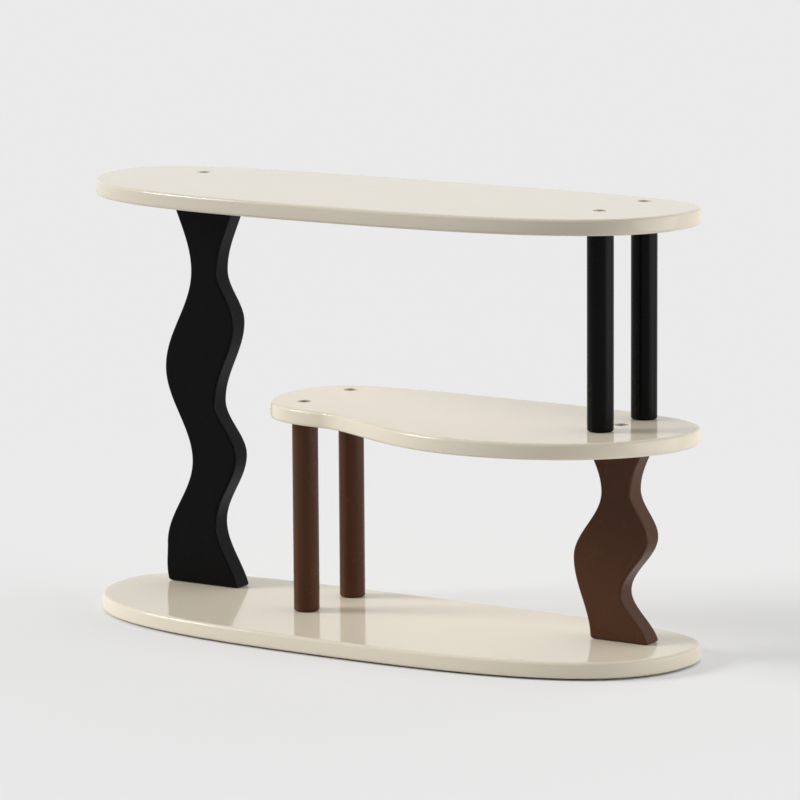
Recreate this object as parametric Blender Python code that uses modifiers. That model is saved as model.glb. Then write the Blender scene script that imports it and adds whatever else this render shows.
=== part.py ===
"""A desktop display shelf: three cream boards held apart by two wavy panels and four round posts.

Metres, +Z up, +X along the boards to the right, +Y to the back. The origin is on the table, under the
middle of the base. Every upright is held at both ends by a screw that passes through the board into a
threaded insert, and each panel end also has two wooden pins that keep it from turning.
"""

import math

import bmesh
import bpy
from mathutils import Vector
from mathutils.geometry import interpolate_bezier

# The whole shelf, and the clear height under its middle board
LENGTH = 0.520
DEPTH = 0.178
HEIGHT = 0.343
LOWER_STOREY = 0.1518

# Boards
BOARD = 0.0125
BOARD_EDGE = 0.0025
WIDEST_Y = 0.024
MIDDLE_LENGTH = 0.363
LOBE_MARGIN = 0.027
BULGE_FROM_FRONT = 0.001

# Proportions of the long boards' curves: reaches along the half length, and the end's drop towards the front
FRONT_REACH = 0.48
BACK_REACH = 0.68
END_DROP = 0.92

# Proportions of the middle board's curves: places and reaches along its length, and drops of its two ends
LOBE_DROP = 0.70
WAIST_PLACE = 0.21
WAIST_REACH_LEFT = 0.128
WAIST_REACH_RIGHT = 0.082
BULGE_PLACE = 0.609
BULGE_REACH_LEFT = 0.181
BULGE_REACH_RIGHT = 0.239
BACK_PLACE = 0.39
BACK_REACH_LEFT = 0.266
BACK_REACH_RIGHT = 0.369
MIDDLE_END_DROP = 0.48

# Uprights, placed by their distance from the boards' ends and back edge; a pair by its rear post
POST_RADIUS = 0.010
POST_EDGE = 0.0015
POST_SPACING = 0.064
PANEL = 0.018
PANEL_EDGE = 0.002
BLACK_PANEL_FROM_END = 0.068
BLACK_PANEL_FROM_BACK = 0.045
BROWN_PANEL_FROM_END = 0.063
BROWN_PANEL_FROM_BACK = 0.060
BLACK_POSTS_FROM_END = 0.0614
BLACK_POSTS_FROM_BACK = 0.0288
BROWN_POSTS_FROM_MIDDLE_END = 0.0368
BROWN_POSTS_FROM_BACK = 0.0288

# Fasteners
FIT = 0.0003
SCREW_RADIUS = 0.0025
SCREW_LENGTH = 0.020
HEAD_RADIUS = 0.00475
HEAD_HEIGHT = 0.0028
HEAD_ROOM = 0.0008
SCREW_CHAMFER = 0.0006
SINK = 0.005
SOCKET_RADIUS = 0.0017
SOCKET_DEPTH = 0.0016
INSERT_RADIUS = 0.004
INSERT_LENGTH = 0.013
INSERT_ROOM = 0.003
PIN_RADIUS = 0.003
PIN_LENGTH = 0.020
PIN_COVER = 0.004
PIN_OFFSET = 0.012
PIN_CHAMFER = 0.0008

# Pads under the base
PAD_HEIGHT = 0.001
PAD_RADIUS = 0.008
PAD_FROM_END = 0.085
PAD_FROM_BACK = 0.024
PAD_FROM_FRONT = 0.042

# The panels' edges from foot to top: share of the height, distance from the axis, lean (sideways per unit up)
BLACK_LEFT = (
    (0.0, -0.0339, -0.3),
    (0.096, -0.0351, 0.0),
    (0.314, -0.0097, 0.0),
    (0.544, -0.0344, 0.0),
    (0.795, -0.0086, 0.0),
    (1.0, -0.0290, -0.3),
)
BLACK_RIGHT = (
    (0.0, 0.0330, -0.32),
    (0.158, 0.0123, 0.0),
    (0.334, 0.0323, 0.0),
    (0.465, 0.0125, 0.0),
    (0.670, 0.0315, 0.0),
    (0.795, 0.0160, 0.0),
    (1.0, 0.0352, 0.13),
)
BROWN_LEFT = (
    (0.0, -0.0222, 0.0),
    (0.405, -0.0369, 0.0),
    (0.747, -0.0127, 0.0),
    (1.0, -0.0268, -0.48),
)
BROWN_RIGHT = (
    (0.0, 0.0281, -0.2),
    (0.244, 0.0048, 0.0),
    (0.531, 0.0279, 0.0),
    (0.761, 0.0128, 0.0),
    (1.0, 0.0253, 0.44),
)
WAVE_HANDLE = 0.36

# Most of a board's or a panel's thickness that one rounded rim may take
MOST_EDGE = 0.4

# Roundness of the drawn shapes
BOARD_STEPS = 18
WAVE_STEPS = 8
POST_STEPS = 28
SMALL_STEPS = 16
SOCKET_SIDES = 6
RIM_STEPS = 1
SHARP_ANGLE = math.radians(40)
WELD = 0.000001
AXIS_WELD = 0.00001

# Levels that follow from the sizes above: the underside of each board
BASE_Z = PAD_HEIGHT + FIT
MIDDLE_Z = BASE_Z + BOARD + LOWER_STOREY
TOP_Z = HEIGHT - BOARD
HALF_LENGTH = LENGTH / 2
BACK_Y = DEPTH / 2
MIDDLE_LEFT_X = HALF_LENGTH - MIDDLE_LENGTH
BROWN_REAR_Y = BACK_Y - BROWN_POSTS_FROM_BACK
BROWN_FRONT_Y = BROWN_REAR_Y - POST_SPACING

# Depth of the bore in an upright's end: it takes the insert and the screw's tip
SCREW_REACH = SCREW_LENGTH - (BOARD - SINK) - FIT
BORE_DEPTH = max(INSERT_LENGTH, SCREW_REACH) + INSERT_ROOM

CREAM = (0.79, 0.74, 0.64)
BLACK = (0.010, 0.010, 0.010)
BROWN = (0.075, 0.028, 0.014)
STEEL = (0.16, 0.15, 0.14)
BRASS = (0.65, 0.48, 0.20)
BEECH = (0.62, 0.42, 0.24)
RUBBER = (0.06, 0.06, 0.06)


def clear_scene():
    for obj in list(bpy.data.objects):
        bpy.data.objects.remove(obj, do_unlink=True)


def new_collection(name):
    collection = bpy.data.collections.new(name)
    bpy.context.scene.collection.children.link(collection)
    return collection


def material(name, colour, roughness, metallic=0.0):
    made = bpy.data.materials.new(name)
    made.use_nodes = True
    shader = made.node_tree.nodes["Principled BSDF"]
    shader.inputs["Base Color"].default_value = (*colour, 1.0)
    shader.inputs["Roughness"].default_value = roughness
    shader.inputs["Metallic"].default_value = metallic
    return made


class Shelf:
    """The collections, the empty that carries the parts, and the materials."""

    def __init__(self):
        self.parts = new_collection("desktop_display_shelf")
        self.cutters = new_collection("cutters")
        self.root = bpy.data.objects.new("shelf_origin", None)
        self.parts.objects.link(self.root)
        self.cream = material("cream_lacquer", CREAM, 0.35)
        self.black = material("black_lacquer", BLACK, 0.40)
        self.brown = material("brown_lacquer", BROWN, 0.45)
        self.steel = material("screw_steel", STEEL, 0.40, 1.0)
        self.brass = material("insert_brass", BRASS, 0.35, 1.0)
        self.beech = material("pin_beech", BEECH, 0.70)
        self.rubber = material("pad_rubber", RUBBER, 0.80)

    def part(self, name, mesh, look, location, rotation=(0.0, 0.0, 0.0)):
        """One named sub-part, carried by the empty and shaded smooth with its real edges left sharp."""
        mesh.materials.clear()
        mesh.materials.append(look)
        mesh.shade_smooth()
        mesh.set_sharp_from_angle(angle=SHARP_ANGLE)
        obj = bpy.data.objects.new(name, mesh)
        obj.location = location
        obj.rotation_euler = rotation
        obj.parent = self.root
        self.parts.objects.link(obj)
        return obj

    def cut(self, target, radius, low, high, spot):
        """A round hole through target from height low to height high."""
        name = f"cut_{target.name}_{len(target.modifiers)}"
        mesh = cylinder(name, radius, high - low, SMALL_STEPS)
        self.cut_with(target, mesh, (*spot, (low + high) / 2))

    def cut_with(self, target, mesh, location):
        cutter = bpy.data.objects.new(mesh.name, mesh)
        cutter.location = location
        cutter.hide_render = True
        cutter.display_type = "WIRE"
        self.cutters.objects.link(cutter)
        hole = target.modifiers.new(mesh.name, "BOOLEAN")
        hole.operation = "DIFFERENCE"
        hole.object = cutter


def cylinder(name, radius, height, sides):
    mesh = bpy.data.meshes.new(name)
    made = bmesh.new()
    bmesh.ops.create_cone(
        made, cap_ends=True, segments=sides, radius1=radius, radius2=radius, depth=height
    )
    made.to_mesh(mesh)
    made.free()
    return mesh


def evaluated_mesh(obj):
    """The object's mesh with its modifiers or its curve settled, doubles welded, and the source removed."""
    graph = bpy.context.evaluated_depsgraph_get()
    mesh = bpy.data.meshes.new_from_object(obj.evaluated_get(graph))
    mesh.name = obj.name
    made = bmesh.new()
    made.from_mesh(mesh)
    bmesh.ops.remove_doubles(made, verts=made.verts, dist=WELD)
    bmesh.ops.recalc_face_normals(made, faces=made.faces)
    made.to_mesh(mesh)
    made.free()
    bpy.data.objects.remove(obj, do_unlink=True)
    return mesh


def turned(name, profile, steps, closed=False):
    """A profile of (radius, height) pairs, outer side top to bottom, turned about Z."""
    count = len(profile)
    edges = [(i, i + 1) for i in range(count - 1)]
    if closed:
        edges.append((count - 1, 0))
    mesh = bpy.data.meshes.new(name)
    mesh.from_pydata([(radius, 0.0, height) for radius, height in profile], edges, [])
    obj = bpy.data.objects.new(name, mesh)
    bpy.context.scene.collection.objects.link(obj)
    screw = obj.modifiers.new("turn", "SCREW")
    screw.steps = steps
    screw.render_steps = steps
    screw.use_merge_vertices = True
    screw.merge_threshold = AXIS_WELD
    return evaluated_mesh(obj)


def flat_solid(name, points, thickness, edge):
    """A closed outline made a solid of the given thickness, its rims rounded to the radius edge."""
    edge = min(edge, MOST_EDGE * thickness)
    curve = bpy.data.curves.new(name, "CURVE")
    curve.dimensions = "2D"
    curve.fill_mode = "BOTH"
    curve.extrude = thickness / 2 - edge
    curve.bevel_depth = edge
    curve.bevel_resolution = RIM_STEPS
    curve.offset = -edge
    spline = curve.splines.new("POLY")
    spline.points.add(len(points) - 1)
    for point, (x, y) in zip(spline.points, points):
        point.co = (x, y, 0.0, 1.0)
    spline.use_cyclic_u = True
    obj = bpy.data.objects.new(name, curve)
    bpy.context.scene.collection.objects.link(obj)
    return evaluated_mesh(obj)


def bezier_stretch(start, start_handle, end_handle, end, steps):
    """Points along one cubic stretch, its last point left for the next stretch. Handles are offsets."""
    start, end = Vector(start), Vector(end)
    points = interpolate_bezier(
        start, start + Vector(start_handle), end + Vector(end_handle), end, steps + 1
    )
    return [(point.x, point.y) for point in points[:-1]]


def outline(knots, steps):
    """A closed outline through knots of (point, handle back, handle on), run counterclockwise."""
    points = []
    for (start, _, onward), (end, backward, _) in zip(knots, knots[1:] + knots[:1]):
        points += bezier_stretch(start, onward, backward, end, steps)
    return points


def right_end_knot(front_drop):
    """The right end, which all three boards share: upright there, full towards the back."""
    return (HALF_LENGTH, WIDEST_Y), (0.0, -front_drop), (0.0, BACK_Y - WIDEST_Y)


def level_knot(x, y, reach_back, reach_on):
    """A knot where the outline runs along X."""
    return (x, y), (reach_back, 0.0), (reach_on, 0.0)


def long_outline():
    """Base and top: a nearly straight back, round ends and a bowed front."""
    front_reach = FRONT_REACH * HALF_LENGTH
    back_reach = BACK_REACH * HALF_LENGTH
    right = right_end_knot(END_DROP * (BACK_Y + WIDEST_Y))
    left = (-HALF_LENGTH, WIDEST_Y), right[2], right[1]
    front = level_knot(0.0, -BACK_Y, -front_reach, front_reach)
    back = level_knot(0.0, BACK_Y, back_reach, -back_reach)
    return outline([front, right, back, left], BOARD_STEPS)


def middle_outline():
    """The middle board: the same right end and back, a lobe round the brown posts, a hollow, then a bulge."""

    def knot(place, y, reach_back, reach_on):
        x = MIDDLE_LEFT_X + place * MIDDLE_LENGTH
        return level_knot(x, y, reach_back * MIDDLE_LENGTH, reach_on * MIDDLE_LENGTH)

    lobe_y = (BROWN_REAR_Y + BROWN_FRONT_Y) / 2
    waist_y = BROWN_FRONT_Y - POST_RADIUS - LOBE_MARGIN
    bulge_y = BULGE_FROM_FRONT - BACK_Y
    lobe = (MIDDLE_LEFT_X, lobe_y), (0.0, BACK_Y - lobe_y), (0.0, LOBE_DROP * (waist_y - lobe_y))
    waist = knot(WAIST_PLACE, waist_y, -WAIST_REACH_LEFT, WAIST_REACH_RIGHT)
    bulge = knot(BULGE_PLACE, bulge_y, -BULGE_REACH_LEFT, BULGE_REACH_RIGHT)
    back = knot(BACK_PLACE, BACK_Y, BACK_REACH_RIGHT, -BACK_REACH_LEFT)
    right = right_end_knot(MIDDLE_END_DROP * (WIDEST_Y - bulge_y))
    return outline([bulge, right, back, lobe, waist], BOARD_STEPS)


def wave_edge(knots, height):
    """Points up one edge of a panel, swinging smoothly from knot to knot."""
    points = []
    for (low, low_x, low_lean), (high, high_x, high_lean) in zip(knots, knots[1:]):
        reach = WAVE_HANDLE * (high - low) * height
        points += bezier_stretch(
            (low_x, low * height),
            (low_lean * reach, reach),
            (-high_lean * reach, -reach),
            (high_x, high * height),
            WAVE_STEPS,
        )
    points.append((knots[-1][1], height))
    return points


def board(shelf, name, points, underside):
    mesh = flat_solid(name, points, BOARD, BOARD_EDGE)
    return shelf.part(name, mesh, shelf.cream, (0.0, 0.0, underside + BOARD / 2))


def panel(shelf, name, look, left, right, spot, foot, top):
    """A flat upright panel: its outline is drawn upright on the panel's axis, from its foot."""
    height = top - foot
    points = wave_edge(right, height) + wave_edge(left, height)[::-1]
    mesh = flat_solid(name, points, PANEL, PANEL_EDGE)
    return shelf.part(name, mesh, look, (*spot, foot), (math.pi / 2, 0.0, 0.0))


def post(shelf, name, look, spot, foot, top):
    """A round post with eased ends and a bore for an insert in each end."""
    height = top - foot
    bore = INSERT_RADIUS + FIT
    ease = [
        (POST_RADIUS - POST_EDGE * (1 - math.sin(turn)), POST_EDGE * (1 - math.cos(turn)))
        for turn in (0.0, math.pi / 4, math.pi / 2)
    ]
    upper = [(0.0, height - BORE_DEPTH), (bore, height - BORE_DEPTH), (bore, height)]
    upper += [(radius, height - drop) for radius, drop in ease]
    lower = [(radius, height - z) for radius, z in upper[::-1]]
    mesh = turned(name, upper + lower, POST_STEPS)
    shelf.part(name, mesh, look, (*spot, foot))


def screw_mesh(name):
    """A low round-headed screw, its seat at zero and its shank pointing down."""
    profile = [
        (0.0, HEAD_HEIGHT),
        (HEAD_RADIUS - SCREW_CHAMFER, HEAD_HEIGHT),
        (HEAD_RADIUS, HEAD_HEIGHT - SCREW_CHAMFER),
        (HEAD_RADIUS, 0.0),
        (SCREW_RADIUS, 0.0),
        (SCREW_RADIUS, SCREW_CHAMFER - SCREW_LENGTH),
        (SCREW_RADIUS - SCREW_CHAMFER, -SCREW_LENGTH),
        (0.0, -SCREW_LENGTH),
    ]
    return turned(name, profile, SMALL_STEPS)


def fasten(shelf, name, spot, end, way, held_board):
    """A screw through a board and its insert, at one end of an upright; way is 1 at its top, -1 at its foot."""
    face = end + way * (FIT + BOARD)
    seat = face - way * (SINK - FIT)
    beyond = face + way * BOARD
    spin = (0.0, 0.0, 0.0) if way > 0 else (math.pi, 0.0, 0.0)
    screw = shelf.part(f"screw_{name}", screw_mesh(name), shelf.steel, (*spot, seat), spin)
    socket = cylinder(f"socket_{name}", SOCKET_RADIUS, 2 * SOCKET_DEPTH, SOCKET_SIDES)
    shelf.cut_with(screw, socket, (*spot, seat + way * HEAD_HEIGHT))
    shelf.cut(held_board, HEAD_RADIUS + HEAD_ROOM, *sorted((face - way * SINK, beyond)), spot)
    shelf.cut(held_board, SCREW_RADIUS + FIT, *sorted((end - way * BOARD, beyond)), spot)
    ring = [
        (INSERT_RADIUS, INSERT_LENGTH),
        (INSERT_RADIUS, 0.0),
        (SCREW_RADIUS + FIT, 0.0),
        (SCREW_RADIUS + FIT, INSERT_LENGTH),
    ]
    mesh = turned(f"insert_{name}", ring, SMALL_STEPS, closed=True)
    bottom = min(end, end - way * INSERT_LENGTH)
    shelf.part(f"insert_{name}", mesh, shelf.brass, (*spot, bottom))


def pin(shelf, name, upright, spot, end, way, held_board):
    """A wooden pin across the joint of a panel end and its board, in a blind hole in each."""
    in_board = end + way * (BOARD - PIN_COVER)
    in_panel = in_board - way * PIN_LENGTH
    low, high = sorted((in_board, in_panel))
    height = high - low
    slim = PIN_RADIUS - PIN_CHAMFER
    profile = [
        (0.0, height),
        (slim, height),
        (PIN_RADIUS, height - PIN_CHAMFER),
        (PIN_RADIUS, PIN_CHAMFER),
        (slim, 0.0),
        (0.0, 0.0),
    ]
    shelf.part(name, turned(name, profile, SMALL_STEPS), shelf.beech, (*spot, low))
    shelf.cut(held_board, PIN_RADIUS + FIT, *sorted((in_board + way * FIT, in_panel)), spot)
    shelf.cut(upright, PIN_RADIUS + FIT, *sorted((in_panel - way * FIT, in_board)), spot)


def build_panel(shelf, name, look, edges, spot, low_board, high_board, foot, top):
    made = panel(shelf, f"{name}_wave_panel", look, *edges, spot, foot, top)
    for end_name, end, way, held in (("foot", foot, -1, low_board), ("top", top, 1, high_board)):
        fasten(shelf, f"{name}_panel_{end_name}", spot, end, way, held)
        bore = sorted((end - way * BORE_DEPTH, end + way * BOARD))
        shelf.cut(made, INSERT_RADIUS + FIT, *bore, spot)
        for side, shift in (("left", -PIN_OFFSET), ("right", PIN_OFFSET)):
            pin_spot = (spot[0] + shift, spot[1])
            pin(shelf, f"pin_{name}_{end_name}_{side}", made, pin_spot, end, way, held)


def build_post_pair(shelf, name, look, x, rear_y, low_board, high_board, foot, top):
    for place, y in (("front", rear_y - POST_SPACING), ("rear", rear_y)):
        spot = (x, y)
        post(shelf, f"{name}_post_{place}", look, spot, foot, top)
        fasten(shelf, f"{name}_post_{place}_foot", spot, foot, -1, low_board)
        fasten(shelf, f"{name}_post_{place}_top", spot, top, 1, high_board)


def build_pads(shelf):
    """Four thin anti-slip pads under the base."""
    x = HALF_LENGTH - PAD_FROM_END
    for place, y in (("front", PAD_FROM_FRONT - BACK_Y), ("rear", BACK_Y - PAD_FROM_BACK)):
        for side, pad_x in (("left", -x), ("right", x)):
            name = f"pad_{place}_{side}"
            mesh = cylinder(name, PAD_RADIUS, PAD_HEIGHT, SMALL_STEPS)
            shelf.part(name, mesh, shelf.rubber, (pad_x, y, PAD_HEIGHT / 2))


def main():
    clear_scene()
    shelf = Shelf()
    base = board(shelf, "base_board", long_outline(), BASE_Z)
    middle = board(shelf, "middle_board", middle_outline(), MIDDLE_Z)
    top = board(shelf, "top_board", long_outline(), TOP_Z)
    on_base = BASE_Z + BOARD + FIT
    on_middle = MIDDLE_Z + BOARD + FIT
    under_middle = MIDDLE_Z - FIT
    under_top = TOP_Z - FIT
    black_spot = (BLACK_PANEL_FROM_END - HALF_LENGTH, BACK_Y - BLACK_PANEL_FROM_BACK)
    build_panel(
        shelf, "black", shelf.black, (BLACK_LEFT, BLACK_RIGHT), black_spot, base, top, on_base, under_top
    )
    brown_spot = (HALF_LENGTH - BROWN_PANEL_FROM_END, BACK_Y - BROWN_PANEL_FROM_BACK)
    build_panel(
        shelf, "brown", shelf.brown, (BROWN_LEFT, BROWN_RIGHT), brown_spot, base, middle, on_base, under_middle
    )
    brown_x = MIDDLE_LEFT_X + BROWN_POSTS_FROM_MIDDLE_END
    build_post_pair(
        shelf, "brown", shelf.brown, brown_x, BROWN_REAR_Y, base, middle, on_base, under_middle
    )
    black_x = HALF_LENGTH - BLACK_POSTS_FROM_END
    black_rear_y = BACK_Y - BLACK_POSTS_FROM_BACK
    build_post_pair(
        shelf, "black", shelf.black, black_x, black_rear_y, middle, top, on_middle, under_top
    )
    build_pads(shelf)


main()
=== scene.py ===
"""Dresses the desktop display shelf: fine surfaces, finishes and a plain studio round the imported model.

Laid out as an add-on and run as a script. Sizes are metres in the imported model's frame: +X along the boards
to the right, +Y to the back, +Z up, with the origin on the table under the middle of the base.
"""

import math

import bmesh
import bpy
import numpy as np
from bpy.props import FloatProperty, FloatVectorProperty, PointerProperty
from mathutils import Matrix, Vector
from mathutils.geometry import delaunay_2d_cdt


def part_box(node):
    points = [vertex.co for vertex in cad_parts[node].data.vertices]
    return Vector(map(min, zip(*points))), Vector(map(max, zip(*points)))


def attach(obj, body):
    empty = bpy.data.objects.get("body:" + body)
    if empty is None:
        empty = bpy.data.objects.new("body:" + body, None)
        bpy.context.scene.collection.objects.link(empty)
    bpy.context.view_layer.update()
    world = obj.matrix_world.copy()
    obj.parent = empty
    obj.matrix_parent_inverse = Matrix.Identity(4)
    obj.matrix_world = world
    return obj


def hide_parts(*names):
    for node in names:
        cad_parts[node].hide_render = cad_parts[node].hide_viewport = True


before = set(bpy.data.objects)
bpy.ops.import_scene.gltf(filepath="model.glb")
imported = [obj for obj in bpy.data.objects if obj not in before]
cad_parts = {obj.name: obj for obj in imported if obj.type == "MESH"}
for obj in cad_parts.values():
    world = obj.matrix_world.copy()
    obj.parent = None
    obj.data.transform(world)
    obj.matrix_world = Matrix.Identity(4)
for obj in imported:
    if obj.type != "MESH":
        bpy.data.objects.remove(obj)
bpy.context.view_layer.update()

bl_info = {
    "name": "Desktop display shelf",
    "version": (1, 0, 0),
    "blender": (4, 5, 0),
    "location": "View3D > Sidebar > Shelf",
    "description": "Surfaces, finishes and studio of a shelf with three boards and wavy panels",
    "category": "Object",
}

BODY = "root"

# Each upright stands on one board and carries another
UPRIGHTS = {
    "black_panel": ("base_board", "top_board"),
    "brown_panel": ("base_board", "middle_board"),
    "brown_post_front": ("base_board", "middle_board"),
    "brown_post_rear": ("base_board", "middle_board"),
    "black_post_front": ("middle_board", "top_board"),
    "black_post_rear": ("middle_board", "top_board"),
}
ENDS = ("foot", "top")

# Base and top: where they are widest, reaches along the half length, and the ends' drop towards the front
WIDEST_Y = 0.024
FRONT_REACH = 0.48
BACK_REACH = 0.68
END_DROP = 0.92

# Middle board: margin in front of the brown posts, then places and reaches along its length
LOBE_MARGIN = 0.027
LOBE_DROP = 0.70
WAIST_PLACE = 0.21
WAIST_REACH_LEFT = 0.128
WAIST_REACH_RIGHT = 0.082
BULGE_PLACE = 0.609
BULGE_REACH_LEFT = 0.181
BULGE_REACH_RIGHT = 0.239
BACK_PLACE = 0.39
BACK_REACH_LEFT = 0.266
BACK_REACH_RIGHT = 0.369
MIDDLE_END_DROP = 0.48

# The panels' edges from foot to top: share of the height, distance from the axis, lean (sideways per unit up)
BLACK_LEFT = (
    (0.0, -0.0339, -0.3),
    (0.096, -0.0351, 0.0),
    (0.314, -0.0097, 0.0),
    (0.544, -0.0344, 0.0),
    (0.795, -0.0086, 0.0),
    (1.0, -0.0290, -0.3),
)
BLACK_RIGHT = (
    (0.0, 0.0330, -0.32),
    (0.158, 0.0123, 0.0),
    (0.334, 0.0323, 0.0),
    (0.465, 0.0125, 0.0),
    (0.670, 0.0315, 0.0),
    (0.795, 0.0160, 0.0),
    (1.0, 0.0352, 0.13),
)
BROWN_LEFT = (
    (0.0, -0.0222, 0.0),
    (0.405, -0.0369, 0.0),
    (0.747, -0.0127, 0.0),
    (1.0, -0.0268, -0.48),
)
BROWN_RIGHT = (
    (0.0, 0.0281, -0.2),
    (0.244, 0.0048, 0.0),
    (0.531, 0.0279, 0.0),
    (0.761, 0.0128, 0.0),
    (1.0, 0.0253, 0.44),
)
WAVE_HANDLE = 0.36

# Fasteners and their holes, as they are built into the model
FIT = 0.0003
SCREW_RADIUS = 0.0025
HEAD_RADIUS = 0.00475
HEAD_HEIGHT = 0.0028
HEAD_ROOM = 0.0008
SINK = 0.005
TIP_CHAMFER = 0.0006
INSERT_RADIUS = 0.004
BORE_DEPTH = 0.016
PIN_RADIUS = 0.003
PIN_CHAMFER = 0.0008

# Fineness of the surfaces
OUTLINE_STEPS = 60
ARC_STEPS = 8
SMALL_ARC_STEPS = 4
WAVE_STEPS = 200
WAVE_ROWS = 150
POST_COLUMNS = 72
HOLE_COLUMNS = 40
SCREW_COLUMNS = 36
ROWS_A_TURN = 6
PIN_COLUMNS = 96
PIN_FLUTES = 16
FLOOR_COLUMNS = 64
SHARP_ANGLE = math.radians(38)

# Flat margins beside rounded edges, and the ring on a socket's floor as a share of the socket's radius
FLAT_MARGIN = 0.0012
MOUTH_MARGIN = FLAT_MARGIN / 2
SOCKET_RING = 0.5

# Fill of a flat face: Blender's number for triangles over all the points, and when two points are one
WHOLE_HULL = 0
FILL_EPSILON = 1e-9


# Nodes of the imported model

def nodes_of(kind):
    return [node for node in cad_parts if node.startswith(kind + "_")]


def pins_of(upright, end):
    return nodes_of("pin_" + upright.replace("panel", end))


def centre_of(node):
    low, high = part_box(node)
    return (low + high) / 2


# Curves and surfaces of revolution

def quarter(steps):
    """Angles of a quarter turn, from 0 to a right angle."""
    return np.linspace(0.0, math.pi / 2, steps + 1)


def once_round(columns):
    """Angles once round, without the last, which is the first again."""
    return 2 * math.pi * np.arange(columns) / columns


def eased(radius, steps):
    """A rounded edge from a face to the side: how far each row is drawn in, how deep it lies, and its paint.

    At angle a it is drawn in by r (1 - sin a) and lies r (1 - cos a) deep; the paint sin 2a is 1 half way.
    """
    angle = quarter(steps)
    return radius * (1 - np.sin(angle)), radius * (1 - np.cos(angle)), np.sin(2 * angle)


def cubic(t, start, first, second, end):
    """A cubic stretch: (1-t)^3 start + 3t(1-t)^2 first + 3t^2(1-t) second + t^3 end."""
    return (1 - t) ** 3 * start + 3 * t * (1 - t) ** 2 * first + 3 * t ** 2 * (1 - t) * second + t ** 3 * end


def outline(knots):
    """Points and outward normals round a closed outline of cubic stretches.

    A knot is its point and its two handles, back and on. The normal is the slope turned a quarter clockwise,
    which points out of an outline that runs counterclockwise.
    """
    point, back, on = (np.array(part)[:, None, :] for part in zip(*knots))
    first = point + on
    end = np.roll(point, -1, axis=0)
    second = end + np.roll(back, -1, axis=0)
    t = (np.arange(OUTLINE_STEPS) / OUTLINE_STEPS)[None, :, None]
    places = cubic(t, point, first, second, end)
    slopes = (1 - t) ** 2 * (first - point) + 2 * t * (1 - t) * (second - first) + t ** 2 * (end - second)
    slopes /= np.linalg.norm(slopes, axis=-1, keepdims=True)
    normals = np.stack([slopes[..., 1], -slopes[..., 0]], axis=-1)
    return places.reshape(-1, 2), normals.reshape(-1, 2)


def turned(radii, heights, columns):
    """Rows of points on a lathe: at angle a a point is (r cos a, r sin a, height).

    radii holds one value for a row, or rows by columns where the radius also changes with the angle.
    """
    shape = (len(heights), columns)
    angle = once_round(columns)
    radius = np.broadcast_to(np.reshape(radii, (shape[0], -1)), shape)
    height = np.broadcast_to(np.reshape(heights, (-1, 1)), shape)
    return np.stack([radius * np.cos(angle), radius * np.sin(angle), height], axis=-1)


def placed(points, at, way=1):
    """Points turned half round the X axis where way is -1, then moved to at."""
    return points * np.array((1, way, way)) + np.array(at)


def turned_at(spot, radii, heights, columns):
    """Rows of points on a lathe whose upright axis goes through a spot."""
    return placed(turned(radii, heights, columns), (spot.x, spot.y, 0.0))


def zigzag(turns):
    """A triangle wave of the turns: 0 on a thread's crest, 1 in its root half a turn on."""
    return 1 - np.abs(2 * np.mod(turns, 1.0) - 1)


def face_out(mesh):
    """Turns every face of a closed mesh outwards."""
    shape = bmesh.new()
    shape.from_mesh(mesh)
    bmesh.ops.recalc_face_normals(shape, faces=shape.faces)
    shape.to_mesh(mesh)
    shape.free()


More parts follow.
